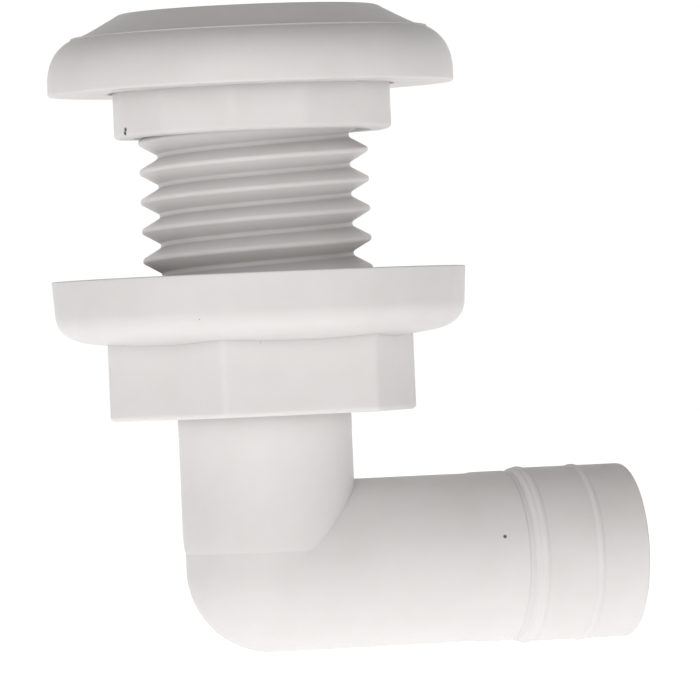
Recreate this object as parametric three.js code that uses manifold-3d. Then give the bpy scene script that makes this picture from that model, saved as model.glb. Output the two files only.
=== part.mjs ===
// Thru hull fitting with an elbow hose tail, in moulded white plastic.
//
// A mushroom head and its threaded barrel pass through the hull. A twelve-sided lock nut runs on the
// barrel under the head, with a soft gasket between the two. A flanged hexagon union nut on the end of
// the barrel pulls the elbow tail up against a seal washer, through a split ring in the tail's groove.
//
// Millimetres, +Z up. The origin is on the barrel's axis, in the plane of the head's flat underside.
// +Z points out of the hull through the head, and the hose tail points along +X.

import * as THREE from 'three';
import { mergeVertices } from 'three/addons/utils/BufferGeometryUtils.js';
import Module from 'manifold-3d';

const wasm = await Module();
wasm.setup();

// ---------------------------------------------------------------- driving dimensions

// Waterway
const BORE_R = 12;

// Thread of the barrel and of both nuts: right-hand, one start
const BARREL_WALL = 4;
const THREAD_DEPTH = 3.1;
const THREAD_PITCH = 4.92;
const THREAD_FLAT = 0.7;
const THREAD_CREST_Z = -10.57;
const THREAD_CHAMFER = 2;

// Clearances
const RUN_CLEARANCE = 0.35;
const SEAT_GAP = 0.3;

// Mushroom head
const SEAT_WIDTH = 10;
const RECESS_DEPTH = 2.9;
const HEAD_H = 13.2;
const SIDE_H = 1.5;
const SHOULDER_H = 8.25;
const RIM_R = 21;
const RIM_ROUND = 1.1;
const MOUTH_DEPTH = 9;

// Hull gasket
const GASKET_T = 2;

// Lock nut
const LOCK_NUT_SIDES = 12;
const LOCK_NUT_WALL = 3.25;
const LOCK_NUT_H = 7.86;
const LOCK_NUT_EDGE = 0.7;
const LOCK_NUT_TURN = THREE.MathUtils.degToRad(5.3);

// Union nut
const CLEAR_THREAD = 23.3;
const UNION_ENGAGEMENT = 12.04;
const HEX_WALL = 3.67;
const HEX_EDGE = 0.9;
const FLANGE_OVERHANG = 7.8;
const FLANGE_SIDE_H = 6;
const FLANGE_DRAFT = 0.4;
const FLANGE_ROUND = 4.3;
const FLANGE_H = 11.3;
const FLANGE_CONE_H = 0.9;
const LIP_H = 4;

// Seal washer, retaining ring and the tail's groove
const SEAL_T = 2;
const LAND_H = 2.56;
const RING_T = 1.8;
const RING_SPLIT = 4;
const GROOVE_DEPTH = 0.98;

// Elbow tail
const LEG_WALL = 2.48;
const LEG_CLEAR = 22.47;
const LEG_FOOT = 2.88;
const HOSE_WALL = 2.13;
const TAIL_REACH = 62;
const SPIGOT_RISE = 0.52;
const BEAD_RISE = 0.25;
const BEAD_HALF_W = 0.8;
const BEADS_FROM_END = [18.3, 8.7];
const BAND_RISE = 0.17;
const BAND_FROM_END = [27.3, 21];
const NOTCH_W = 1.5;
const END_ROUND = 0.7;

// Facets of a full turn, coarser on the thread and what it meets, and of one curve in a profile
const TURN_FACETS = 36;
const THREAD_FACETS = 24;
const CURVE_FACETS = 6;

// ---------------------------------------------------------------- sizes that follow

const rootR = BORE_R + BARREL_WALL;
const crestR = rootR + THREAD_DEPTH;
const nutMinorR = rootR + RUN_CLEARANCE;
const nutMajorR = crestR + RUN_CLEARANCE;

const lockNutApothem = nutMajorR + LOCK_NUT_WALL;
const lockNutR = lockNutApothem / Math.cos(Math.PI / LOCK_NUT_SIDES);
const recessR = lockNutR + RUN_CLEARANCE;
const headR = recessR + SEAT_WIDTH;

const gasketTop = RECESS_DEPTH - SEAT_GAP;
const gasketBottom = gasketTop - GASKET_T;
const lockNutTop = gasketBottom - SEAT_GAP;
const lockNutBottom = lockNutTop - LOCK_NUT_H;

const flangeTop = lockNutBottom - CLEAR_THREAD;
const barrelEnd = flangeTop - UNION_ENGAGEMENT;
const hexApothem = nutMajorR + HEX_WALL;
const hexR = hexApothem / Math.cos(Math.PI / 6);
const flangeR = hexR + FLANGE_OVERHANG;
const flangeBottom = flangeTop - FLANGE_H;

const sealTop = barrelEnd - SEAT_GAP;
const sealBottom = sealTop - SEAL_T;
const tailTop = sealBottom - SEAT_GAP;
const grooveTop = tailTop - LAND_H;
const ringTop = grooveTop - SEAT_GAP;
const ringBottom = ringTop - RING_T;
const grooveBottom = ringBottom - SEAT_GAP;
const lipTop = ringBottom - SEAT_GAP;
const unionNutBottom = lipTop - LIP_H;

const legR = BORE_R + LEG_WALL;
const grooveR = legR - GROOVE_DEPTH;
const hoseR = BORE_R + HOSE_WALL;
const spigotR = hoseR + SPIGOT_RISE;
const beadR = spigotR + BEAD_RISE;
const legFootZ = unionNutBottom - LEG_CLEAR;
const tailAxisZ = legFootZ - LEG_FOOT;

// ---------------------------------------------------------------- solids

// A closed geometry as a solid that can be joined and cut
function solid(geometry) {
  const bare = geometry.clone();
  bare.deleteAttribute('normal');
  bare.deleteAttribute('uv');
  const welded = mergeVertices(bare, 1e-4);
  return new wasm.Manifold(new wasm.Mesh({
    numProp: 3,
    vertProperties: Float32Array.from(welded.attributes.position.array),
    triVerts: Uint32Array.from(welded.index.array),
  }));
}

function toGeometry(manifold) {
  const mesh = manifold.getMesh();
  const geometry = new THREE.BufferGeometry();
  geometry.setAttribute('position', new THREE.BufferAttribute(mesh.vertProperties, 3));
  geometry.setIndex(new THREE.BufferAttribute(mesh.triVerts, 1));
  return geometry;
}

// A profile of [radius, height] points turned about Z
function turned(points, facets = TURN_FACETS) {
  const profile = points.map(([r, z]) => new THREE.Vector2(r, z));
  return new THREE.LatheGeometry(profile, facets).rotateX(Math.PI / 2);
}

function closedProfile(points) {
  return [...points, points[0]];
}

function ring(innerR, outerR, bottom, top) {
  return turned(closedProfile([[innerR, bottom], [outerR, bottom], [outerR, top], [innerR, top]]));
}

function disc(r, bottom, top, facets = TURN_FACETS) {
  return turned([[0, bottom], [r, bottom], [r, top], [0, top]], facets);
}

// A regular prism with its lower edges rounded, standing on z = bottom
function roundedPrism(sides, circumR, turn, bottom, top, edge) {
  const outline = new THREE.Shape();
  for (let i = 0; i < sides; i += 1) {
    const angle = turn + (i * 2 * Math.PI) / sides;
    const corner = [circumR * Math.cos(angle), circumR * Math.sin(angle)];
    if (i === 0) {
      outline.moveTo(...corner);
    } else {
      outline.lineTo(...corner);
    }
  }
  outline.closePath();
  const prism = new THREE.ExtrudeGeometry(outline, {
    depth: top - bottom,
    bevelEnabled: true,
    bevelSegments: 2,
    bevelSize: edge,
    bevelThickness: edge,
    bevelOffset: -edge,
  });
  prism.translate(0, 0, bottom + edge);
  return solid(prism).subtract(solid(disc(2 * circumR, top, top + 4 * edge)));
}

// The helical ridge of the thread, grown on every side by a clearance, between two heights.
// Its flanks run on a little past the root, so that it joins the barrel or cuts a nut cleanly.
function threadRidge(clearance, bottom, top) {
  const crestHalf = THREAD_FLAT / 2;
  const rootHalf = THREAD_PITCH / 2 - THREAD_FLAT / 2;
  const slope = (rootHalf - crestHalf) / THREAD_DEPTH;
  const widen = clearance * Math.hypot(1, slope);
  const innerR = rootR + clearance - THREAD_FLAT / 4;
  const outerR = crestR + clearance;
  const innerHalf = rootHalf + widen - slope * (innerR - rootR);
  const outerHalf = crestHalf + widen - slope * clearance;
  const section = [
    [innerR, -innerHalf],
    [outerR, -outerHalf],
    [outerR, outerHalf],
    [innerR, innerHalf],
  ];
  const first = Math.floor(((bottom - THREAD_CREST_Z) / THREAD_PITCH - 1) * THREAD_FACETS);
  const last = Math.ceil(((top - THREAD_CREST_Z) / THREAD_PITCH + 1) * THREAD_FACETS);
  const positions = [];
  const indices = [];
  for (let step = first; step <= last; step += 1) {
    const turns = step / THREAD_FACETS;
    const angle = turns * 2 * Math.PI;
    const centre = THREAD_CREST_Z + turns * THREAD_PITCH;
    for (const [r, z] of section) {
      positions.push(r * Math.cos(angle), r * Math.sin(angle), centre + z);
    }
  }
  const n = section.length;
  for (let step = 0; step < last - first; step += 1) {
    for (let i = 0; i < n; i += 1) {
      const j = (i + 1) % n;
      const here = step * n;
      const next = here + n;
      indices.push(here + i, next + i, here + j);
      indices.push(here + j, next + i, next + j);
    }
  }
  const end = (last - first) * n;
  for (let i = 1; i < n - 1; i += 1) {
    indices.push(0, i, i + 1);
    indices.push(end, end + i + 1, end + i);
  }
  const geometry = new THREE.BufferGeometry();
  geometry.setAttribute('position', new THREE.Float32BufferAttribute(positions, 3));
  geometry.setIndex(indices);
  return solid(geometry);
}

// ---------------------------------------------------------------- pieces

// Mushroom head with its bell mouth and gasket recess
function mushroomHead() {
  const span = headR - RIM_R;
  const shoulderR = RIM_R + span / 2;
  const shoulderZ = SIDE_H + SHOULDER_H;
  const path = new THREE.Path();
  path.moveTo(BORE_R, RECESS_DEPTH);
  path.lineTo(recessR, RECESS_DEPTH);
  path.lineTo(recessR, 0);
  path.lineTo(headR, 0);
  path.lineTo(headR, SIDE_H);
  path.bezierCurveTo(
    headR - 0.025 * span, SIDE_H + 0.58 * SHOULDER_H,
    shoulderR + 0.31 * span, shoulderZ - 0.2 * SHOULDER_H,
    shoulderR, shoulderZ,
  );
  path.quadraticCurveTo(
    RIM_R + 0.16 * span, shoulderZ + 0.55 * (HEAD_H - shoulderZ),
    RIM_R + RIM_ROUND, HEAD_H - RIM_ROUND / 2,
  );
  path.quadraticCurveTo(RIM_R + RIM_ROUND / 2, HEAD_H, RIM_R, HEAD_H);
  path.quadraticCurveTo(BORE_R, HEAD_H, BORE_R, HEAD_H - MOUTH_DEPTH);
  path.closePath();
  const points = path.getPoints(CURVE_FACETS).map((point) => [point.x, point.y]);
  return solid(turned(points));
}

function thruHullBody() {
  const rooted = RECESS_DEPTH + SEAT_GAP;
  const core = solid(disc(rootR, barrelEnd, rooted, THREAD_FACETS));
  const envelope = turned([
    [0, barrelEnd],
    [crestR + RUN_CLEARANCE - THREAD_CHAMFER, barrelEnd],
    [crestR + RUN_CLEARANCE, barrelEnd + THREAD_CHAMFER],
    [crestR + RUN_CLEARANCE, rooted],
    [0, rooted],
  ]);
  const thread = threadRidge(0, barrelEnd, rooted).intersect(solid(envelope));
  const bore = solid(disc(BORE_R, barrelEnd - THREAD_PITCH, rooted + SEAT_GAP));
  return mushroomHead().add(core).add(thread).subtract(bore);
}

function hullGasket() {
  return solid(ring(nutMajorR, recessR - SEAT_GAP, gasketBottom, gasketTop));
}

function lockNut() {
  const blank = roundedPrism(
    LOCK_NUT_SIDES, lockNutR, LOCK_NUT_TURN, lockNutBottom, lockNutTop, LOCK_NUT_EDGE,
  );
  const bore = solid(disc(
    nutMinorR, lockNutBottom - THREAD_PITCH, lockNutTop + THREAD_PITCH, THREAD_FACETS,
  ));
  return blank.subtract(bore).subtract(threadRidge(RUN_CLEARANCE, lockNutBottom, lockNutTop));
}

function sealWasher() {
  return solid(ring(BORE_R, rootR, sealBottom, sealTop));
}

function unionFlange() {
  const sideZ = flangeTop - FLANGE_SIDE_H;
  const coneZ = flangeBottom + FLANGE_CONE_H;
  const path = new THREE.Path();
  path.moveTo(0, flangeBottom);
  path.lineTo(hexApothem, flangeBottom);
  path.lineTo(flangeR - FLANGE_ROUND - FLANGE_DRAFT, coneZ);
  path.quadraticCurveTo(
    flangeR - 0.7 * FLANGE_DRAFT, coneZ + FLANGE_CONE_H / 4,
    flangeR - FLANGE_DRAFT, sideZ,
  );
  path.lineTo(flangeR, flangeTop);
  path.lineTo(0, flangeTop);
  const points = path.getPoints(CURVE_FACETS).map((point) => [point.x, point.y]);
  return solid(turned(points));
}

function unionNut() {
  const hexTop = flangeTop - FLANGE_SIDE_H;
  const hex = roundedPrism(6, hexR, 0, unionNutBottom, hexTop, HEX_EDGE);
  const cavity = solid(disc(nutMinorR, lipTop, flangeTop + THREAD_PITCH, THREAD_FACETS));
  const lipHole = solid(disc(legR + RUN_CLEARANCE, unionNutBottom - LIP_H, lipTop + SEAT_GAP));
  const threadZone = solid(disc(2 * crestR, barrelEnd - SEAT_GAP, flangeTop + THREAD_PITCH));
  const thread = threadRidge(RUN_CLEARANCE, barrelEnd - SEAT_GAP, flangeTop).intersect(threadZone);
  return unionFlange().add(hex).subtract(cavity).subtract(lipHole).subtract(thread);
}

// A split ring, open towards -X
function retainingRing() {
  const whole = solid(ring(grooveR + SEAT_GAP, rootR, ringBottom, ringTop));
  const split = new THREE.BoxGeometry(2 * rootR, RING_SPLIT, 4 * RING_T);
  split.translate(-rootR, 0, ringBottom);
  return whole.subtract(solid(split));
}

// The ball-shaped outer corner between the two legs, and the short neck over it, for an outside or a
// bore of radius r
function bendCorner(r) {
  const arc = new THREE.Path().absarc(0, 0, r, -Math.PI / 2, Math.PI / 2, false);
  const points = arc.getPoints(3 * CURVE_FACETS);
  points[0].x = 0;
  points[points.length - 1].x = 0;
  const ball = new THREE.LatheGeometry(points, TURN_FACETS).translate(0, 0, tailAxisZ);
  const neck = disc(r, tailAxisZ, legFootZ + SEAT_GAP);
  return solid(ball).add(solid(neck));
}

// The hose leg's outside, with its faint band, its two beads and its rounded end
function hoseLeg() {
  const [bandStart, bandEnd] = BAND_FROM_END.map((back) => TAIL_REACH - back);
  const spigotStart = bandEnd + NOTCH_W;
  const points = [
    [0, 0],
    [hoseR, 0],
    [hoseR, bandStart],
    [hoseR + BAND_RISE, bandStart],
    [hoseR + BAND_RISE, bandEnd],
    [hoseR, bandEnd],
    [spigotR, spigotStart],
  ];
  for (const back of BEADS_FROM_END) {
    const x = TAIL_REACH - back;
    points.push([spigotR, x - BEAD_HALF_W], [beadR, x], [spigotR, x + BEAD_HALF_W]);
  }
  const spring = END_ROUND * (1 - Math.SQRT1_2);
  points.push([spigotR, TAIL_REACH - END_ROUND]);
  points.push([spigotR - spring, TAIL_REACH - spring]);
  points.push([spigotR - END_ROUND, TAIL_REACH]);
  points.push([0, TAIL_REACH]);
  const profile = points.map(([r, x]) => new THREE.Vector2(r, x));
  const leg = new THREE.LatheGeometry(profile, TURN_FACETS).rotateZ(-Math.PI / 2);
  return solid(leg.translate(0, 0, tailAxisZ));
}

function elbowTail() {
  const upright = solid(turned([
    [0, legFootZ],
    [legR, legFootZ],
    [legR, grooveBottom],
    [grooveR, grooveBottom],
    [grooveR, grooveTop],
    [legR, grooveTop],
    [legR, tailTop],
    [0, tailTop],
  ]));
  const outside = upright.add(hoseLeg()).add(bendCorner(hoseR));
  const uprightBore = solid(disc(BORE_R, legFootZ, tailTop + LAND_H));
  const hoseBore = new THREE.CylinderGeometry(BORE_R, BORE_R, TAIL_REACH + 2 * SEAT_GAP, TURN_FACETS);
  hoseBore.rotateZ(-Math.PI / 2);
  hoseBore.translate(TAIL_REACH / 2 + SEAT_GAP, 0, tailAxisZ);
  const waterway = uprightBore.add(solid(hoseBore)).add(bendCorner(BORE_R));
  return outside.subtract(waterway);
}

// ---------------------------------------------------------------- the assembly

const WHITE_PLASTIC = { color: 0xe4e1dc, roughness: 0.42, metalness: 0 };
const NATURAL_PLASTIC = { color: 0xd9d4c6, roughness: 0.5, metalness: 0 };
const SEAL_RUBBER = { color: 0xcecdc8, roughness: 0.8, metalness: 0 };

const pieces = [
  ['thru_hull_body', thruHullBody(), WHITE_PLASTIC],
  ['hull_gasket', hullGasket(), SEAL_RUBBER],
  ['lock_nut', lockNut(), WHITE_PLASTIC],
  ['tail_seal_washer', sealWasher(), SEAL_RUBBER],
  ['union_nut', unionNut(), WHITE_PLASTIC],
  ['retaining_ring', retainingRing(), NATURAL_PLASTIC],
  ['elbow_tail', elbowTail(), WHITE_PLASTIC],
];

const fitting = new THREE.Group();
for (const [name, shape, finish] of pieces) {
  const mesh = new THREE.Mesh(toGeometry(shape), new THREE.MeshStandardMaterial(finish));
  mesh.name = name;
  fitting.add(mesh);
}

export default fitting;
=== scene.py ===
import math

import bmesh
import bpy
from mathutils import Matrix, Vector


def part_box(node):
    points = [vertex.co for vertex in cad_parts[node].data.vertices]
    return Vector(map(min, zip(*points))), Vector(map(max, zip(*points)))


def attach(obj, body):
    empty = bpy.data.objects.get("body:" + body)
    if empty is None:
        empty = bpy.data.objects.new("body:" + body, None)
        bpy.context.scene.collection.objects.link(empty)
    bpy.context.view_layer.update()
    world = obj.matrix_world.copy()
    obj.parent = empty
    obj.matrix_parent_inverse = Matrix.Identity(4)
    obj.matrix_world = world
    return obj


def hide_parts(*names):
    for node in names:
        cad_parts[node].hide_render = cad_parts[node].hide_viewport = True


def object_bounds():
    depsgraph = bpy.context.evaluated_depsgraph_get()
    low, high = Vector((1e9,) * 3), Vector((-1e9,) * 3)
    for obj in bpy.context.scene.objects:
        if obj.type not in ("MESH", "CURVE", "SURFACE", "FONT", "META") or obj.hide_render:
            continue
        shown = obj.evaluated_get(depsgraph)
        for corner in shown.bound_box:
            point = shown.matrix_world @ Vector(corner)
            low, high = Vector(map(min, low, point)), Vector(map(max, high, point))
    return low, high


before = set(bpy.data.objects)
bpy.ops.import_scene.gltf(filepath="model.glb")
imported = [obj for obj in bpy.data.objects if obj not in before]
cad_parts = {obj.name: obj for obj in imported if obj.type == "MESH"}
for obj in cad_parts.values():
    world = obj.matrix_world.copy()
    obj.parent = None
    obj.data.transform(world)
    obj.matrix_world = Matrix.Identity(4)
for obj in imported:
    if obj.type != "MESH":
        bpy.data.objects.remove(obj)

CAD_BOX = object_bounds()

bl_info = {
    "name": "Thru Hull Fitting",
    "version": (1, 0, 0),
    "blender": (4, 5, 0),
    "location": "3D View > Sidebar > Fitting",
    "description": "Builds a moulded plastic thru hull fitting with an elbow hose tail",
    "category": "Add Mesh",
}

MM = 0.001
WELD = 1e-6
CUT = 1e-8

# Places that the frame fixes
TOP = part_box("thru_hull_body")[1][2]
HEAD_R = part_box("thru_hull_body")[1][0]
BARREL_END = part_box("thru_hull_body")[0][2]
GASKET_LOW, GASKET_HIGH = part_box("hull_gasket")
LOCK_NUT_LOW, LOCK_NUT_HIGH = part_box("lock_nut")
SEAL_LOW, SEAL_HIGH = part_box("tail_seal_washer")
RING_LOW, RING_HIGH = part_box("retaining_ring")
UNION_LOW, UNION_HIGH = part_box("union_nut")
TAIL_LOW, TAIL_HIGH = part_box("elbow_tail")
BEAD_R = TAIL_HIGH[1]
TAIL_AXIS_Z = TAIL_LOW[2] + BEAD_R
LEG_R = -TAIL_LOW[0]


def linear(code):
    """An sRGB hex colour as linear red, green and blue."""
    parts = [int(code[i:i + 2], 16) / 255 for i in (1, 3, 5)]
    return tuple(p / 12.92 if p <= 0.04045 else ((p + 0.055) / 1.055) ** 2.4 for p in parts)


def length(name, default, description):
    """A size that a user may change, given here in millimetres."""
    return bpy.props.FloatProperty(
        name=name, description=description, default=default * MM,
        min=0.0, unit="LENGTH", subtype="DISTANCE", precision=5,
    )


def colour(name, code, description):
    return bpy.props.FloatVectorProperty(
        name=name, description=description, default=linear(code),
        subtype="COLOR", size=3, min=0.0, max=1.0,
    )


# ---------------------------------------------------------------- what a user may change

class FittingSizes(bpy.types.PropertyGroup):
    """Sizes of the mouldings that the frame doesn't fix."""
    bore_radius: length("Bore radius", 12.0, "Inner radius of the waterway")
    thread_radius: length("Thread radius", 19.1, "Radius over the thread's crests")
    thread_depth: length("Thread depth", 3.1, "Crest to root")
    thread_pitch: length("Thread pitch", 4.92, "Rise of one turn")
    thread_crest_z: length("Crest offset", 10.57, "How far a crest lies below the head on the +X side")
    thread_flat: length("Thread flat", 0.7, "Width of the flat between a crest's two flanks")
    running_gap: length("Running gap", 0.35, "Play between the barrel's thread and a nut")
    rim_radius: length("Rim radius", 21.0, "Radius of the raised rim round the mouth")
    ledge_radius: length("Ledge radius", 29.75, "Radius of the narrow ledge between the shoulder and cone")
    mouth_depth: length("Mouth depth", 9.0, "Depth of the bell mouth")
    recess_depth: length("Recess depth", 2.9, "Depth of the gasket's recess in the head")
    lock_nut_corner: length("Lock nut corner", 1.15, "Width cut off each corner of the lock nut")
    hex_corner: length("Hexagon corner", 0.9, "Width cut off each corner of the hexagon")
    edge: length("Lower edges", 0.8, "Rounding of the nuts' lower edges")
    hex_radius: length("Hexagon radius", 26.7, "From the axis to the hexagon's sharp corners")
    flange_side: length("Flange side", 6.0, "Height of the flange's side")
    flange_height: length("Flange height", 11.3, "Height of the whole flange")
    leg_foot: length("Leg foot", 2.88, "Height of the upright leg's foot over the hose leg's axis")
    hose_leg_radius: length("Hose leg radius", 14.13, "Outer radius of the plain hose leg")
    spigot_radius: length("Spigot radius", 14.65, "Outer radius of the hose spigot")
    parting_line: length("Parting line", 0.12, "Width of the line where the mould closed")


class FittingColours(bpy.types.PropertyGroup):
    """Colours of the mouldings, the seals and the studio."""
    plastic: colour("White plastic", "#DDDBDA", "Pigmented white of the mouldings")
    plastic_shade: colour("Plastic shade", "#D5D2CF", "Warmer tone in the plastic's faint mottle")
    speck: colour("Specks", "#4A4540", "Stray burnt specks in the plastic")
    natural: colour("Natural plastic", "#DCD5C4", "Unpigmented plastic of the retaining ring")
    rubber: colour("Seal rubber", "#CDCBC4", "Pale rubber of the gasket and the washer")
    floor: colour("Floor", "#FAFAFA", "Pale studio floor")


# ---------------------------------------------------------------- modelling tools

def only(obj):
    """Leaves obj alone selected and active."""
    bpy.ops.object.select_all(action="DESELECT")
    obj.select_set(True)
    bpy.context.view_layer.objects.active = obj


def pick_edges(obj, test):
    """In edit mode, selects the edges whose two ends pass the test."""
    bpy.ops.mesh.select_mode(type="EDGE")
    bpy.ops.mesh.select_all(action="DESELECT")
    mesh = bmesh.from_edit_mesh(obj.data)
    for edge in mesh.edges:
        if test(edge.verts[0].co, edge.verts[1].co):
            edge.select_set(True)
    bmesh.update_edit_mesh(obj.data)


def new_object(name):
    """Names the object that a primitive has just made, with its place moved into its mesh."""
    obj = bpy.context.active_object
    obj.name = name
    obj.data.name = name
    bpy.ops.object.transform_apply(location=True, rotation=True, scale=True)
    return obj


def tidy_mesh(obj):
    """Welds what meets, and turns every face outwards."""
    only(obj)
    bpy.ops.object.mode_set(mode="EDIT")
    bpy.ops.mesh.select_mode(type="VERT")
    bpy.ops.mesh.select_all(action="SELECT")
    bpy.ops.mesh.remove_doubles(threshold=WELD)
    bpy.ops.mesh.dissolve_degenerate(threshold=WELD)
    bpy.ops.mesh.normals_make_consistent(inside=False)
    bpy.ops.object.mode_set(mode="OBJECT")


def cap(obj, height):
    """In edit mode, fills the open ring at a height."""
    pick_edges(obj, lambda a, b: max(abs(a.z - height), abs(b.z - height)) < WELD)
    bpy.ops.mesh.edge_face_add()


def turned_form(name, rings, sides=144, closed=False):
    """A round form about Z: a circle at the first ring, then an extrude, a move and a resize for each
    other ring. Rings are (radius, height). A closed form comes back to its first ring, and any other is
    capped at both ends."""
    bpy.ops.object.select_all(action="DESELECT")
    radius, height = rings[0]
    bpy.ops.mesh.primitive_circle_add(vertices=sides, radius=radius, location=(0, 0, height))
    obj = new_object(name)
    bpy.ops.object.mode_set(mode="EDIT")
    bpy.ops.mesh.select_all(action="SELECT")
    path = list(rings[1:]) + ([rings[0]] if closed else [])
    for next_radius, next_height in path:
        bpy.ops.mesh.extrude_edges_move(
            TRANSFORM_OT_translate={"value": (0, 0, next_height - height)})
        growth = next_radius / radius
        bpy.ops.transform.resize(value=(growth, growth, 1), center_override=(0, 0, next_height))
        radius, height = next_radius, next_height
    if not closed:
        bpy.ops.mesh.edge_face_add()
        cap(obj, rings[0][1])
    bpy.ops.object.mode_set(mode="OBJECT")
    tidy_mesh(obj)
    return obj


def arc(centre, radius, start, end, steps):
    """Points (radius, height) round an arc, from one angle in degrees to another."""
    points = []
    for i in range(steps + 1):
        angle = math.radians(start + (end - start) * i / steps)
        points.append((centre[0] + radius * math.cos(angle), centre[1] + radius * math.sin(angle)))
    return points


def curve(start, first, second, end, steps):
    """Points along a cubic curve, with its start left out."""
    points = []
    for i in range(1, steps + 1):
        t = i / steps
        weights = ((1 - t) ** 3, 3 * t * (1 - t) ** 2, 3 * t * t * (1 - t), t ** 3)
        places = (start, first, second, end)
        points.append(tuple(sum(w * p[k] for w, p in zip(weights, places)) for k in (0, 1)))
    return points


def combine(obj, other, operation):
    """Joins other to obj, or cuts it away, and removes it."""
    only(obj)
    modifier = obj.modifiers.new("combine", "BOOLEAN")
    modifier.operation = operation
    modifier.solver = "EXACT"
    modifier.object = other
    bpy.ops.object.modifier_apply(modifier=modifier.name)
    bpy.data.objects.remove(other, do_unlink=True)
    return obj


def shade(obj, angle=28):
    """Smooth shading with sharp edges kept, and flat faces ruling the shading of what they meet."""
    only(obj)
    bpy.ops.object.shade_smooth_by_angle(angle=math.radians(angle))
    modifier = obj.modifiers.new("weighted", "WEIGHTED_NORMAL")
    modifier.keep_sharp = True
    bpy.ops.object.modifier_apply(modifier=modifier.name)


def finish_piece(obj, body, node, material, angle=28):
    """Shades a finished piece, gives it its material and ties it to the frame."""
    tidy_mesh(obj)
    shade(obj, angle)
    obj.data.materials.clear()
    obj.data.materials.append(material)
    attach(obj, body)
    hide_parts(node)


# ---------------------------------------------------------------- materials

def add_node(tree, kind, inputs=None, **settings):
    """Adds a node, sets its properties, and sets or links its inputs by name or number."""
    node = tree.nodes.new(kind)
    for key, value in settings.items():
        setattr(node, key, value)
    for key, value in (inputs or {}).items():
        if isinstance(value, bpy.types.NodeSocket):
            tree.links.new(value, node.inputs[key])
        else:
            node.inputs[key].default_value = value
    return node


def material(name):
    """A new material with an empty node tree, its object coordinates, and its output."""
    made = bpy.data.materials.new(name)
    made.use_nodes = True
    tree = made.node_tree
    tree.nodes.clear()
    place = add_node(tree, "ShaderNodeTexCoord").outputs["Object"]
    out = add_node(tree, "ShaderNodeOutputMaterial")
    return made, tree, place, out


# Larger burnt specks: two close together on the lock nut, and one on the hose leg
BURNS = (
    (-22.9 * MM, -3.7 * MM, -6.2 * MM),
    (-22.9 * MM, -3.5 * MM, -6.8 * MM),
    (36.7 * MM, -13.67 * MM, -76.3 * MM),
)


MILD_PAINTED_SHADE = 0.93     # painted shade: how much of its colour plastic keeps in a deep corner
DEEP_PAINTED_SHADE = 0.72     # the same, a deeper painted shade, in the roots of the barrel's thread


def per_metre(millimetres):
    """The scale of a pattern whose cells are that many millimetres across."""
    return 1 / (millimetres * MM)


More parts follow.
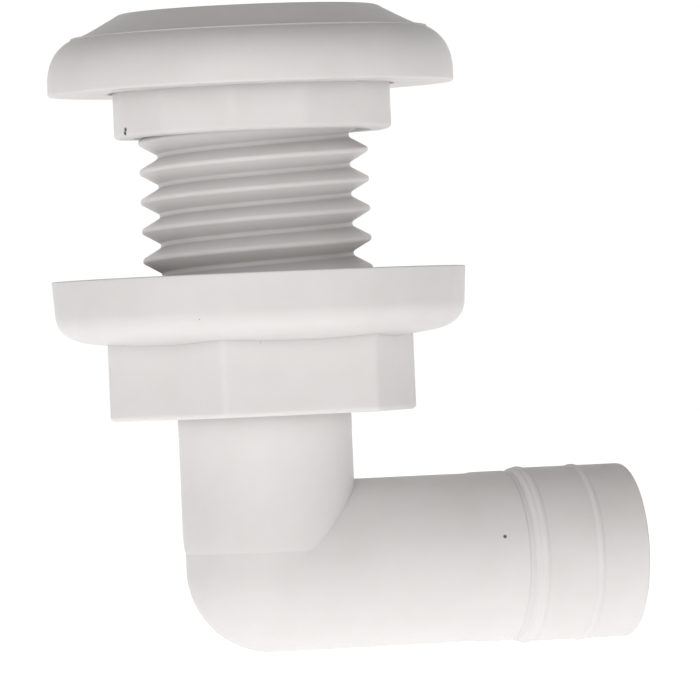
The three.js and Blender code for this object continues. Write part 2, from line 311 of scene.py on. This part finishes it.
def moulded_acetal(name, base, shade_tone, speck_tone, seam, darkest_painted_shade):
    """Injection-moulded white acetal. It is slightly translucent, so light creeps a few millimetres into
    edges and thread crests. It has a satin skin from the spark-eroded mould, a slow waviness from
    shrinkage, a faint warm mottle and a few burnt specks."""
    made, tree, place, out = material(name)
    mottle = add_node(tree, "ShaderNodeTexNoise", {
        "Vector": place, "Scale": per_metre(9), "Detail": 4.0, "Roughness": 0.55})
    tone = add_node(tree, "ShaderNodeMapRange", {
        "Value": mottle.outputs["Fac"], "From Min": 0.35, "From Max": 0.75, "To Max": 0.5})
    body = add_node(tree, "ShaderNodeMix", {
        "Factor": tone.outputs["Result"], 6: (*base, 1), 7: (*shade_tone, 1)}, data_type="RGBA")
    # Specks are about 0.3 mm across. Only one cell in many is dark enough to show.
    cells = add_node(tree, "ShaderNodeTexVoronoi", {"Vector": place, "Scale": per_metre(6)})
    near = add_node(tree, "ShaderNodeMapRange", {
        "Value": cells.outputs["Distance"], "From Min": 0.015, "From Max": 0.028,
        "To Min": 1.0, "To Max": 0.0})
    lottery = add_node(tree, "ShaderNodeSeparateColor", {"Color": cells.outputs["Color"]})
    chosen = add_node(tree, "ShaderNodeMath", {0: lottery.outputs["Red"], 1: 0.82},
                      operation="GREATER_THAN")
    speck = add_node(tree, "ShaderNodeMath", {0: near.outputs["Result"], 1: chosen.outputs[0]},
                     operation="MULTIPLY")
    for spot in BURNS:
        gap = add_node(tree, "ShaderNodeVectorMath", {0: place, 1: spot}, operation="DISTANCE")
        burn = add_node(tree, "ShaderNodeMapRange", {
            "Value": gap.outputs["Value"], "From Min": 0.25 * MM, "From Max": 0.45 * MM,
            "To Min": 1.0, "To Max": 0.0})
        speck = add_node(tree, "ShaderNodeMath", {0: speck.outputs[0], 1: burn.outputs["Result"]},
                         operation="MAXIMUM")
    speckled = add_node(tree, "ShaderNodeMix", {
        "Factor": speck.outputs[0], 6: body.outputs[2], 7: (*speck_tone, 1)}, data_type="RGBA")
    # Painted shade: the colour is darkened in the thread's roots and in inner corners, within about 3 mm of
    # them.
    open_sky = add_node(tree, "ShaderNodeAmbientOcclusion", {"Distance": 3 * MM}, samples=6)
    painted_corner_shade = add_node(tree, "ShaderNodeMapRange", {
        "Value": open_sky.outputs["AO"], "From Min": 0.3, "From Max": 0.95,
        "To Min": darkest_painted_shade, "To Max": 1.0})
    # Painted shade: the speckled colour is multiplied by the corner darkening.
    dust_bloom_and_painted_shade = add_node(tree, "ShaderNodeMix", {
        "Factor": 1.0, 6: speckled.outputs[2], 7: painted_corner_shade.outputs["Result"]},
        data_type="RGBA", blend_type="MULTIPLY")
    # Satin: the skin's gloss varies over a few millimetres, with fine handling scuffs.
    scuffs = add_node(tree, "ShaderNodeTexNoise", {
        "Vector": place, "Scale": per_metre(2.5), "Detail": 5.0, "Roughness": 0.7})
    satin = add_node(tree, "ShaderNodeMapRange", {
        "Value": scuffs.outputs["Fac"], "From Min": 0.3, "From Max": 0.7,
        "To Min": 0.36, "To Max": 0.5})
    # Spark-eroded grain is about 0.05 mm. It is drawn at 0.25 mm, so that it shows at all.
    grain = add_node(tree, "ShaderNodeTexNoise", {
        "Vector": place, "Scale": per_metre(0.25), "Detail": 2.0})
    wave = add_node(tree, "ShaderNodeTexNoise", {
        "Vector": place, "Scale": per_metre(14), "Detail": 1.0})
    sides = add_node(tree, "ShaderNodeSeparateXYZ", {"Vector": place})
    across = add_node(tree, "ShaderNodeMath", {0: sides.outputs["Y"]}, operation="ABSOLUTE")
    line = add_node(tree, "ShaderNodeMapRange", {
        "Value": across.outputs[0], "From Min": 0.0, "From Max": seam, "To Min": 1.0, "To Max": 0.0},
        interpolation_type="SMOOTHSTEP")
    # No moulded edge is sharp: each is rounded by about the tool's 0.3 mm.
    edges = add_node(tree, "ShaderNodeBevel", {"Radius": 0.3 * MM}, samples=4)
    skin = add_node(tree, "ShaderNodeBump", {
        "Height": grain.outputs["Fac"], "Strength": 0.12, "Distance": 0.02 * MM,
        "Normal": edges.outputs["Normal"]})
    slow = add_node(tree, "ShaderNodeBump", {
        "Height": wave.outputs["Fac"], "Strength": 0.35, "Distance": 0.5 * MM,
        "Normal": skin.outputs["Normal"]})
    parted = add_node(tree, "ShaderNodeBump", {
        "Height": line.outputs["Result"], "Strength": 0.5, "Distance": 0.06 * MM,
        "Normal": slow.outputs["Normal"]})
    shader = add_node(tree, "ShaderNodeBsdfPrincipled", {
        "Base Color": dust_bloom_and_painted_shade.outputs[2], "Roughness": satin.outputs["Result"],
        "Normal": parted.outputs["Normal"], "IOR": 1.48,
        "Subsurface Weight": 0.3, "Subsurface Radius": (1.0, 0.86, 0.7), "Subsurface Scale": 2.5 * MM})
    tree.links.new(shader.outputs["BSDF"], out.inputs["Surface"])
    return made


def moulded_rubber(name, base):
    """Compression-moulded silicone rubber: pale grey and matt, with a bloom of dust in patches."""
    made, tree, place, out = material(name)
    bloom = add_node(tree, "ShaderNodeTexNoise", {
        "Vector": place, "Scale": per_metre(3), "Detail": 4.0})
    dust_bloom_and_painted_shade = tuple(min(1.0, c * 1.12) for c in base)
    tone = add_node(tree, "ShaderNodeMix", {
        "Factor": bloom.outputs["Fac"], 6: (*base, 1), 7: (*dust_bloom_and_painted_shade, 1)}, data_type="RGBA")
    rough = add_node(tree, "ShaderNodeMapRange", {
        "Value": bloom.outputs["Fac"], "To Min": 0.62, "To Max": 0.85})
    grain = add_node(tree, "ShaderNodeTexNoise", {"Vector": place, "Scale": per_metre(0.3), "Detail": 2.0})
    bump = add_node(tree, "ShaderNodeBump", {
        "Height": grain.outputs["Fac"], "Strength": 0.3, "Distance": 0.03 * MM})
    shader = add_node(tree, "ShaderNodeBsdfPrincipled", {
        "Base Color": tone.outputs[2], "Roughness": rough.outputs["Result"],
        "Normal": bump.outputs["Normal"], "IOR": 1.52})
    tree.links.new(shader.outputs["BSDF"], out.inputs["Surface"])
    return made


def studio_floor(name, base):
    """A pale acrylic light table: it glows softly, and so lights the fitting from below."""
    made, tree, place, out = material(name)
    tone = add_node(tree, "ShaderNodeTexNoise", {"Vector": place, "Scale": per_metre(400)})
    rough = add_node(tree, "ShaderNodeMapRange", {
        "Value": tone.outputs["Fac"], "To Min": 0.75, "To Max": 0.9})
    shader = add_node(tree, "ShaderNodeBsdfPrincipled", {
        "Base Color": (*base, 1), "Roughness": rough.outputs["Result"],
        "Emission Color": (*base, 1), "Emission Strength": TABLE_GLOW})
    tree.links.new(shader.outputs["BSDF"], out.inputs["Surface"])
    return made


def shared_material(name, make, *values):
    """The material of that name, made once."""
    return bpy.data.materials.get(name) or make(name, *values)


def white_acetal():
    colours = bpy.context.scene.fitting_colours
    sizes = bpy.context.scene.fitting_sizes
    return shared_material("moulded white acetal", moulded_acetal, tuple(colours.plastic),
                           tuple(colours.plastic_shade), tuple(colours.speck), sizes.parting_line, MILD_PAINTED_SHADE)


def painted_shade_acetal():
    """The hull body's acetal, with a deeper painted shade in the roots of its thread."""
    colours = bpy.context.scene.fitting_colours
    sizes = bpy.context.scene.fitting_sizes
    return shared_material("white acetal with painted shade", moulded_acetal, tuple(colours.plastic),
                           tuple(colours.plastic_shade), tuple(colours.speck), sizes.parting_line, DEEP_PAINTED_SHADE)


def natural_acetal():
    colours = bpy.context.scene.fitting_colours
    sizes = bpy.context.scene.fitting_sizes
    return shared_material("natural acetal", moulded_acetal, tuple(colours.natural),
                           tuple(colours.plastic_shade), tuple(colours.speck), sizes.parting_line, MILD_PAINTED_SHADE)


def silicone_rubber():
    return shared_material("moulded silicone rubber", moulded_rubber,
                           tuple(bpy.context.scene.fitting_colours.rubber))


# ---------------------------------------------------------------- thread

def threaded_rod(name, grow, bottom, top, rounded):
    """A solid right-hand threaded rod between two heights, grown on every side by a gap. One pitch of
    the outline is drawn vertex by vertex and turned with the screw tool, then trimmed and capped."""
    sizes = bpy.context.scene.fitting_sizes
    pitch = sizes.thread_pitch
    crest_half = sizes.thread_flat / 2
    root_half = pitch / 2 - crest_half
    slope = (root_half - crest_half) / sizes.thread_depth
    widen = grow * math.hypot(1, slope) - slope * grow
    crest_r = sizes.thread_radius + grow
    root_r = sizes.thread_radius - sizes.thread_depth + grow
    crest_half += widen
    root_half += widen
    soft = sizes.thread_flat * 0.35
    middle = -sizes.thread_crest_z
    middle += math.ceil((top - middle) / pitch + 1) * pitch
    half = [(crest_r, crest_half), (root_r, root_half), (root_r, pitch / 2)]
    if rounded:
        lean = math.hypot(1, slope)
        off_r, off_z = soft / lean, soft * slope / lean
        half = [
            (crest_r, crest_half * 0.35),
            (crest_r - 0.35 * off_r, crest_half * 0.85),
            (crest_r - off_r, crest_half + off_z),
            (root_r + 1.3 * off_r, root_half - 1.3 * off_z),
            (root_r + 0.45 * off_r, root_half + 0.15 * off_z),
            (root_r, pitch / 2),
        ]
    outline = [(r, -z) for r, z in reversed(half)] + half
    bpy.ops.object.select_all(action="DESELECT")
    bpy.ops.mesh.primitive_plane_add(size=MM)
    rod = new_object(name)
    bpy.ops.object.mode_set(mode="EDIT")
    bpy.ops.mesh.select_all(action="SELECT")
    bpy.ops.mesh.merge(type="CENTER")
    last = (0.0, 0.0)
    for i, (r, z) in enumerate((r, middle + z) for r, z in outline):
        move = (r - last[0], 0, z - last[1])
        if i == 0:
            bpy.ops.transform.translate(value=move)
        else:
            bpy.ops.mesh.extrude_vertices_move(TRANSFORM_OT_translate={"value": move})
        last = (r, z)
    bpy.ops.mesh.select_all(action="SELECT")
    turns = math.ceil((middle - bottom) / pitch + 1)
    # Turned about -Z the screw tool climbs to the right as it goes down, which is a right-hand thread.
    bpy.ops.mesh.screw(steps=96, turns=turns, center=(0, 0, 0), axis=(0, 0, -1))
    bpy.ops.mesh.select_all(action="SELECT")
    bpy.ops.mesh.remove_doubles(threshold=WELD)
    for height, side in ((top, 1), (bottom, -1)):
        bpy.ops.mesh.select_all(action="SELECT")
        bpy.ops.mesh.bisect(plane_co=(0, 0, height), plane_no=(0, 0, side),
                            use_fill=True, clear_outer=True, threshold=CUT)
    bpy.ops.object.mode_set(mode="OBJECT")
    tidy_mesh(rod)
    return rod


def lead_in(name, face, inward):
    """A shallow cone that opens the mouth of a nut's thread at a face."""
    sizes = bpy.context.scene.fitting_sizes
    mouth = sizes.thread_radius + 2 * sizes.running_gap
    depth = 1.2 * MM
    over = 0.5 * MM
    rings = [(mouth + over, face - inward * over), (mouth - depth, face + inward * depth)]
    return turned_form(name, rings)


# ---------------------------------------------------------------- pieces

class FITTING_OT_hull_body(bpy.types.Operator):
    """Mushroom head with its bell mouth, and the threaded barrel under it"""
    bl_idname = "fitting.hull_body"
    bl_label = "Hull Body"

    def execute(self, context):
        sizes = context.scene.fitting_sizes
        recess_r = GASKET_HIGH[0] + 0.3 * MM
        core_r = sizes.thread_radius - sizes.thread_depth - 0.5 * MM
        ledge = (sizes.ledge_radius, TOP - 4.05 * MM)
        cove = (sizes.rim_radius + 1.35 * MM, TOP - 0.5 * MM)
        outside = [
            (core_r, BARREL_END + 0.5 * MM),
            (core_r, sizes.recess_depth),
            (recess_r, sizes.recess_depth),
            (recess_r, 0.15 * MM),
            (recess_r + 0.15 * MM, 0),
            (HEAD_R - 0.2 * MM, 0),
            (HEAD_R, 0.2 * MM),
            (HEAD_R, 1.5 * MM),
        ]
        outside += curve(outside[-1], (HEAD_R + 0.05 * MM, 5.6 * MM),
                         (ledge[0] + 2.5 * MM, ledge[1] - 1.25 * MM), ledge, 16)
        outside += [
            (ledge[0] - 0.03 * MM, ledge[1] + 0.2 * MM),
            (ledge[0] - 0.12 * MM, ledge[1] + 0.29 * MM),
            (ledge[0] - 0.3 * MM, ledge[1] + 0.33 * MM),
            (ledge[0] - 1.15 * MM, ledge[1] + 0.3 * MM),
            (ledge[0] - 1.35 * MM, ledge[1] + 0.36 * MM),
            (ledge[0] - 1.8 * MM, ledge[1] + 0.62 * MM),
        ]
        outside += curve(outside[-1], (ledge[0] - 3.4 * MM, ledge[1] + 1.3 * MM),
                         (cove[0] + 1.9 * MM, cove[1] - 1.05 * MM), cove, 12)
        outside += curve(cove, (cove[0] - 0.45 * MM, TOP - 0.2 * MM),
                         (sizes.rim_radius + 0.5 * MM, TOP), (sizes.rim_radius, TOP), 6)
        lip = (sizes.rim_radius - 0.8 * MM, TOP - 0.08 * MM)
        throat = (sizes.bore_radius, TOP - sizes.mouth_depth)
        mouth = [lip] + curve(lip, (sizes.rim_radius - 6.5 * MM, TOP - 0.6 * MM),
                              (sizes.bore_radius, TOP - 3.2 * MM), throat, 16)
        inside = mouth + [(sizes.bore_radius, BARREL_END + 0.5 * MM)]
        body = turned_form("mushroom_head", outside + inside, sides=192, closed=True)
        thread = threaded_rod("barrel_thread", 0, BARREL_END, sizes.recess_depth + 0.5 * MM, True)
        chamfer = 2.0 * MM
        envelope_r = sizes.thread_radius + sizes.running_gap
        envelope = turned_form("thread_envelope", [
            (envelope_r - chamfer, BARREL_END),
            (envelope_r, BARREL_END + chamfer),
            (envelope_r, sizes.recess_depth + 0.3 * MM),
        ])
        combine(thread, envelope, "INTERSECT")
        bore = turned_form("thread_bore", [
            (sizes.bore_radius + 1.5 * MM, BARREL_END + 0.8 * MM),
            (sizes.bore_radius + 1.5 * MM, sizes.recess_depth + 2 * MM),
        ])
        end_bore = turned_form("end_bore", [
            (sizes.bore_radius, BARREL_END - 1 * MM),
            (sizes.bore_radius, BARREL_END + 1 * MM),
        ], sides=192)
        combine(thread, bore, "DIFFERENCE")
        combine(thread, end_bore, "DIFFERENCE")
        combine(body, thread, "UNION")
        finish_piece(body, "root", "thru_hull_body", painted_shade_acetal())
        return {"FINISHED"}


LOCK_NUT_R = 23.5 * MM
LOCK_NUT_TURN = math.radians(5.3)


def softened_prism(name, sides, radius, turn, bottom, top, corner, edge):
    """A prism with its upright corners and its lower edges rounded."""
    bpy.ops.object.select_all(action="DESELECT")
    bpy.ops.mesh.primitive_cylinder_add(
        vertices=sides, radius=radius, depth=top - bottom,
        location=(0, 0, (top + bottom) / 2), rotation=(0, 0, turn))
    prism = new_object(name)
    bpy.ops.object.mode_set(mode="EDIT")
    pick_edges(prism, lambda a, b: abs(a.z - b.z) > (top - bottom) / 2)
    bpy.ops.mesh.bevel(offset=corner, segments=8, affect="EDGES")
    pick_edges(prism, lambda a, b: max(a.z, b.z) < bottom + WELD)
    bpy.ops.mesh.bevel(offset=edge, segments=6, affect="EDGES")
    bpy.ops.object.mode_set(mode="OBJECT")
    return prism


class FITTING_OT_lock_nut(bpy.types.Operator):
    """Twelve-sided lock nut under the head"""
    bl_idname = "fitting.lock_nut"
    bl_label = "Lock Nut"

    def execute(self, context):
        sizes = context.scene.fitting_sizes
        bottom, top = LOCK_NUT_LOW[2], LOCK_NUT_HIGH[2]
        nut = softened_prism("lock_nut_shell", 12, LOCK_NUT_R, LOCK_NUT_TURN, bottom, top,
                             sizes.lock_nut_corner, sizes.edge)
        spare = sizes.thread_pitch
        combine(nut, threaded_rod("lock_nut_tap", sizes.running_gap, bottom - spare, top + spare, False),
                "DIFFERENCE")
        combine(nut, lead_in("lock_nut_lead_in", bottom, 1), "DIFFERENCE")
        finish_piece(nut, "lock_nut", "lock_nut", white_acetal())
        return {"FINISHED"}


class FITTING_OT_union_nut(bpy.types.Operator):
    """Union nut: a wide flange with a hexagon under it"""
    bl_idname = "fitting.union_nut"
    bl_label = "Union Nut"

    def execute(self, context):
        sizes = context.scene.fitting_sizes
        bottom, top = UNION_LOW[2], UNION_HIGH[2]
        radius = UNION_HIGH[0]
        side_z = top - sizes.flange_side
        base_z = top - sizes.flange_height
        cone_r = radius - 4.7 * MM
        flange = [
            (22.5 * MM, base_z - 0.06 * MM),
            (cone_r - 1.5 * MM, base_z + 0.75 * MM),
        ]
        flange += curve(flange[-1], (cone_r + 2.0 * MM, base_z + 1.25 * MM),
                        (radius - 0.65 * MM, side_z - 2.6 * MM), (radius - 0.4 * MM, side_z), 14)
        flange += [
            (radius - 0.2 * MM, side_z + 3 * MM),
            (radius - 0.02 * MM, top - 0.15 * MM),
            (radius - 0.17 * MM, top),
        ]
        nut = turned_form("union_nut_shell", flange, sides=192)
        hexagon = softened_prism("hexagon", 6, sizes.hex_radius, math.radians(30), bottom,
                                 side_z, sizes.hex_corner, sizes.edge)
        combine(nut, hexagon, "UNION")
        cavity_r = sizes.thread_radius - sizes.thread_depth + sizes.running_gap + 0.15 * MM
        lip_top = RING_LOW[2] - 0.3 * MM
        cavity = turned_form("nut_cavity", [(cavity_r, lip_top), (cavity_r, SEAL_HIGH[2] + 0.5 * MM)])
        combine(nut, cavity, "DIFFERENCE")
        lip_r = LEG_R + sizes.running_gap
        lip_hole = turned_form("lip_hole", [
            (lip_r + 1.2 * MM, bottom - 0.6 * MM),
            (lip_r, bottom + 0.6 * MM),
            (lip_r, lip_top + 0.3 * MM),
        ])
        combine(nut, lip_hole, "DIFFERENCE")
        tap = threaded_rod("union_nut_tap", sizes.running_gap, SEAL_HIGH[2], top + sizes.thread_pitch, False)
        combine(nut, tap, "DIFFERENCE")
        combine(nut, lead_in("union_lead_in", top, -1), "DIFFERENCE")
        finish_piece(nut, "union_nut", "union_nut", white_acetal())
        return {"FINISHED"}


def open_tube(name, rings, sides):
    """A round form about Z, open at its first ring and capped at its last."""
    obj = turned_form(name, rings, sides=sides)
    bpy.ops.object.mode_set(mode="EDIT")
    bpy.ops.mesh.select_mode(type="FACE")
    mesh = bmesh.from_edit_mesh(obj.data)
    for face in mesh.faces:
        face.select_set(all(abs(v.co.z - rings[0][1]) < WELD for v in face.verts))
    bmesh.update_edit_mesh(obj.data)
    bpy.ops.mesh.delete(type="ONLY_FACE")
    bpy.ops.object.mode_set(mode="OBJECT")
    return obj


def mitred_bend(name, upright, hose, sides=144):
    """Two round legs that meet in a sharp mitre inside the bend and a ball outside it. Upright rings
    are (radius, height) and hose rings are (radius, distance along X). Both start where the legs' axes
    cross, at one radius."""
    leg = open_tube(name, upright, sides)
    side = open_tube(name + "_hose", hose, sides)
    side.rotation_euler = (0, math.pi / 2, 0)
    side.location = (0, 0, TAIL_AXIS_Z)
    only(side)
    bpy.ops.object.transform_apply(location=True, rotation=True, scale=True)
    crossing = (0, 0, TAIL_AXIS_Z)
    for tube, outward in ((leg, (1, 0, -1)), (side, (-1, 0, 1))):
        only(tube)
        bpy.ops.object.mode_set(mode="EDIT")
        bpy.ops.mesh.select_all(action="SELECT")
        bpy.ops.mesh.bisect(plane_co=crossing, plane_no=outward, use_fill=False,
                            clear_outer=True, threshold=CUT)
        bpy.ops.object.mode_set(mode="OBJECT")
    only(leg)
    side.select_set(True)
    bpy.ops.object.join()
    bpy.ops.object.mode_set(mode="EDIT")
    pick_edges(leg, lambda a, b: max(abs(a.z - TAIL_AXIS_Z), abs(b.z - TAIL_AXIS_Z)) < WELD
               and max(a.x, b.x) < WELD)
    bpy.ops.mesh.spin(steps=36, angle=math.pi / 2, center=crossing, axis=(0, 1, 0))
    bpy.ops.object.mode_set(mode="OBJECT")
    tidy_mesh(leg)
    return leg


class FITTING_OT_elbow_tail(bpy.types.Operator):
    """Elbow tail: upright leg with its ring groove, mitred elbow and beaded hose spigot"""
    bl_idname = "fitting.elbow_tail"
    bl_label = "Elbow Tail"

    def execute(self, context):
        sizes = context.scene.fitting_sizes
        foot_z = TAIL_AXIS_Z + sizes.leg_foot
        hose_r = sizes.hose_leg_radius
        spigot_r = sizes.spigot_radius
        end = TAIL_HIGH[0]
        hose = [(hose_r, 0), (hose_r, end - 27.3 * MM)]
        hose += [(hose_r + 0.17 * MM, end - 26.3 * MM), (hose_r + 0.17 * MM, end - 21.15 * MM)]
        hose += [(hose_r + 0.02 * MM, end - 20.95 * MM), (hose_r + 0.02 * MM, end - 20.1 * MM)]
        hose += [(spigot_r, end - 19.4 * MM)]
        for back in (18.3 * MM, 8.7 * MM):
            x = end - back
            rise = BEAD_R - spigot_r
            for step in range(-4, 5):
                across = step / 4
                hose.append((spigot_r + rise * math.cos(across * math.pi / 2) ** 1.2,
                             x + across * 0.75 * MM))
        hose += arc((spigot_r - 0.7 * MM, end - 0.7 * MM), 0.7 * MM, 0, 90, 6)
        tail = mitred_bend("elbow", [(hose_r, TAIL_AXIS_Z), (hose_r, TAIL_AXIS_Z + 18 * MM)], hose)
        groove_r = RING_HIGH[0] - 2.5 * MM
        leg = turned_form("upright_leg", [
            (hose_r + 0.02 * MM, foot_z),
            (LEG_R - 0.14 * MM, foot_z + 0.8 * MM),
            (LEG_R, foot_z + 3.6 * MM),
            (LEG_R, RING_LOW[2] - 0.3 * MM),
            (groove_r, RING_LOW[2] - 0.3 * MM),
            (groove_r, RING_HIGH[2] + 0.3 * MM),
            (LEG_R, RING_HIGH[2] + 0.3 * MM),
            (LEG_R, TAIL_HIGH[2] - 0.3 * MM),
            (LEG_R - 0.3 * MM, TAIL_HIGH[2]),
        ])
        combine(tail, leg, "UNION")
        bore_r = sizes.bore_radius
        waterway = mitred_bend("waterway", [(bore_r, TAIL_AXIS_Z), (bore_r, TAIL_HIGH[2] + 2 * MM)], [
            (bore_r, 0),
            (bore_r, end - 0.6 * MM),
            (bore_r + 0.6 * MM, end),
            (bore_r + 0.6 * MM, end + 1 * MM),
        ])
        combine(tail, waterway, "DIFFERENCE")
        finish_piece(tail, "tail", "elbow_tail", white_acetal(), angle=24)
        return {"FINISHED"}


def flat_ring(name, inner, outer, bottom, top, edge):
    """A flat ring with its edges rounded."""
    rings = [
        (inner + edge, bottom), (outer - edge, bottom), (outer, bottom + edge), (outer, top - edge),
        (outer - edge, top), (inner + edge, top), (inner, top - edge), (inner, bottom + edge),
    ]
    return turned_form(name, rings, closed=True)


class FITTING_OT_seals(bpy.types.Operator):
    """Hull gasket and tail seal washer"""
    bl_idname = "fitting.seals"
    bl_label = "Seals"

    def execute(self, context):
        sizes = context.scene.fitting_sizes
        gap = sizes.running_gap
        gasket = flat_ring("gasket_ring", sizes.thread_radius + gap, GASKET_HIGH[0],
                           GASKET_LOW[2], GASKET_HIGH[2], 0.2 * MM)
        finish_piece(gasket, "gasket", "hull_gasket", silicone_rubber())
        washer = flat_ring("washer_ring", sizes.bore_radius, SEAL_HIGH[0],
                           SEAL_LOW[2], SEAL_HIGH[2], 0.2 * MM)
        finish_piece(washer, "seal", "tail_seal_washer", silicone_rubber())
        return {"FINISHED"}


class FITTING_OT_retaining_ring(bpy.types.Operator):
    """Split ring in the groove of the tail's upright leg"""
    bl_idname = "fitting.retaining_ring"
    bl_label = "Retaining Ring"

    def execute(self, context):
        inner = RING_HIGH[0] - 2.2 * MM
        ring = flat_ring("split_ring", inner, RING_HIGH[0], RING_LOW[2], RING_HIGH[2], 0.15 * MM)
        bpy.ops.object.select_all(action="DESELECT")
        bpy.ops.mesh.primitive_cube_add(size=1, location=(-RING_HIGH[0], 0, RING_LOW[2]),
                                        scale=(RING_HIGH[0], 4 * MM, 8 * MM))
        split = new_object("ring_split")
        combine(ring, split, "DIFFERENCE")
        finish_piece(ring, "tail", "retaining_ring", natural_acetal())
        return {"FINISHED"}


# ---------------------------------------------------------------- studio

TURN = math.radians(-16.68)
FLOOR_DROP = 30 * MM
TABLE_GLOW = 0.83
CAMERA_LENS = 377.4
CAMERA_DISTANCE = 1.223
LEVEL = Vector((math.cos(TURN), math.sin(TURN), 0))
AHEAD = Vector((-math.sin(TURN), math.cos(TURN), 0))


def area_light(name, place, target, width, height, power, tone):
    data = bpy.data.lights.new(name, "AREA")
    data.shape = "RECTANGLE"
    data.size = width
    data.size_y = height
    data.energy = power
    data.color = tone
    light = bpy.data.objects.new(name, data)
    bpy.context.scene.collection.objects.link(light)
    light.location = place
    direction = Vector(target) - Vector(place)
    light.rotation_euler = direction.to_track_quat("-Z", "Y").to_euler()
    return light


class FITTING_OT_stage(bpy.types.Operator):
    """Pale floor, soft studio light and the camera"""
    bl_idname = "fitting.stage"
    bl_label = "Stage"

    def execute(self, context):
        scene = context.scene
        bpy.ops.object.select_all(action="DESELECT")
        floor_z = CAD_BOX[0][2] - FLOOR_DROP
        bpy.ops.mesh.primitive_grid_add(x_subdivisions=4, y_subdivisions=4, size=12,
                                        location=(0, 0, floor_z))
        floor = new_object("studio_floor")
        floor.data.materials.append(
            shared_material("acrylic light table", studio_floor, tuple(scene.fitting_colours.floor)))
        self.sky(scene)
        self.camera(scene)
        place = LEVEL * -0.35 - AHEAD * 1.5 + Vector((0, 0, 0.1))
        area_light("front_softbox", place, (0, 0, -0.02), 0.9, 0.9, 4.0, (1.0, 1.0, 1.0))
        scene.view_settings.view_transform = "Standard"
        return {"FINISHED"}

    def sky(self, scene):
        """A white studio: bright behind the fitting and behind the camera, dimmer at the sides and
        most of all overhead, as under a hood."""
        world = bpy.data.worlds.new("white studio")
        scene.world = world
        world.use_nodes = True
        tree = world.node_tree
        tree.nodes.clear()
        way = add_node(tree, "ShaderNodeTexCoord").outputs["Generated"]
        parts = add_node(tree, "ShaderNodeSeparateXYZ", {"Vector": way})
        level = add_node(tree, "ShaderNodeMapRange", {
            "Value": parts.outputs["Z"], "From Min": 0.08, "From Max": 0.75,
            "To Min": 1.08, "To Max": 0.42}, interpolation_type="SMOOTHSTEP")
        depth = add_node(tree, "ShaderNodeVectorMath", {0: way, 1: tuple(AHEAD)},
                         operation="DOT_PRODUCT")
        across = add_node(tree, "ShaderNodeMath", {0: depth.outputs["Value"]}, operation="ABSOLUTE")
        side = add_node(tree, "ShaderNodeMapRange", {
            "Value": across.outputs[0], "From Min": 0.15, "From Max": 0.95,
            "To Min": 0.42, "To Max": 1.0}, interpolation_type="SMOOTHSTEP")
        hand = add_node(tree, "ShaderNodeVectorMath", {0: way, 1: tuple(LEVEL)},
                        operation="DOT_PRODUCT")
        lean = add_node(tree, "ShaderNodeMapRange", {
            "Value": hand.outputs["Value"], "From Min": -1.0, "To Min": 1.02, "To Max": 0.87})
        shape = add_node(tree, "ShaderNodeMath", {
            0: side.outputs["Result"], 1: lean.outputs["Result"]}, operation="MULTIPLY")
        strength = add_node(tree, "ShaderNodeMath", {
            0: level.outputs["Result"], 1: shape.outputs[0]}, operation="MULTIPLY")
        tone = add_node(tree, "ShaderNodeMix", {
            "Factor": level.outputs["Result"], 6: (1.0, 0.95, 0.92, 1), 7: (1, 1, 1, 1)},
            data_type="RGBA")
        light = add_node(tree, "ShaderNodeBackground", {
            "Color": tone.outputs[2], "Strength": strength.outputs[0]})
        out = add_node(tree, "ShaderNodeOutputWorld")
        tree.links.new(light.outputs["Background"], out.inputs["Surface"])

    def camera(self, scene):
        """A long lens, held level and rolled a little, with the whole fitting in view."""
        tilt = math.radians(2.44)
        up = Vector((0, 0, 1))
        right = LEVEL * math.cos(tilt) - up * math.sin(tilt)
        over = LEVEL * math.sin(tilt) + up * math.cos(tilt)
        aim = Vector((0, 0, TAIL_AXIS_Z)) + right * 13.163 * MM + over * 36.228 * MM
        data = bpy.data.cameras.new("studio_camera")
        data.sensor_width = 36
        data.lens = CAMERA_LENS
        data.clip_start = 0.05
        data.clip_end = 50
        camera = bpy.data.objects.new("studio_camera", data)
        scene.collection.objects.link(camera)
        frame_axes = Matrix((right, over, -AHEAD)).transposed().to_4x4()
        camera.matrix_world = Matrix.Translation(aim - AHEAD * CAMERA_DISTANCE) @ frame_axes
        scene.camera = camera


# ---------------------------------------------------------------- add-on

STEPS = (
    FITTING_OT_hull_body,
    FITTING_OT_lock_nut,
    FITTING_OT_union_nut,
    FITTING_OT_elbow_tail,
    FITTING_OT_seals,
    FITTING_OT_retaining_ring,
    FITTING_OT_stage,
)


class FITTING_PT_panel(bpy.types.Panel):
    """Lists the fitting's pieces, sizes and colours"""
    bl_label = "Thru Hull Fitting"
    bl_idname = "FITTING_PT_panel"
    bl_space_type = "VIEW_3D"
    bl_region_type = "UI"
    bl_category = "Fitting"

    def draw(self, context):
        for group in (context.scene.fitting_sizes, context.scene.fitting_colours):
            box = self.layout.box()
            for key in group.__annotations__:
                box.prop(group, key)
        for step in STEPS:
            self.layout.operator(step.bl_idname)


CLASSES = (FittingSizes, FittingColours, *STEPS, FITTING_PT_panel)


def register():
    for each in CLASSES:
        bpy.utils.register_class(each)
    bpy.types.Scene.fitting_sizes = bpy.props.PointerProperty(type=FittingSizes)
    bpy.types.Scene.fitting_colours = bpy.props.PointerProperty(type=FittingColours)


def unregister():
    del bpy.types.Scene.fitting_colours
    del bpy.types.Scene.fitting_sizes
    for each in reversed(CLASSES):
        bpy.utils.unregister_class(each)


def main():
    register()
    bpy.ops.fitting.hull_body()
    bpy.ops.fitting.lock_nut()
    bpy.ops.fitting.union_nut()
    bpy.ops.fitting.elbow_tail()
    bpy.ops.fitting.seals()
    bpy.ops.fitting.retaining_ring()
    bpy.ops.fitting.stage()


if __name__ == "__main__":
    main()
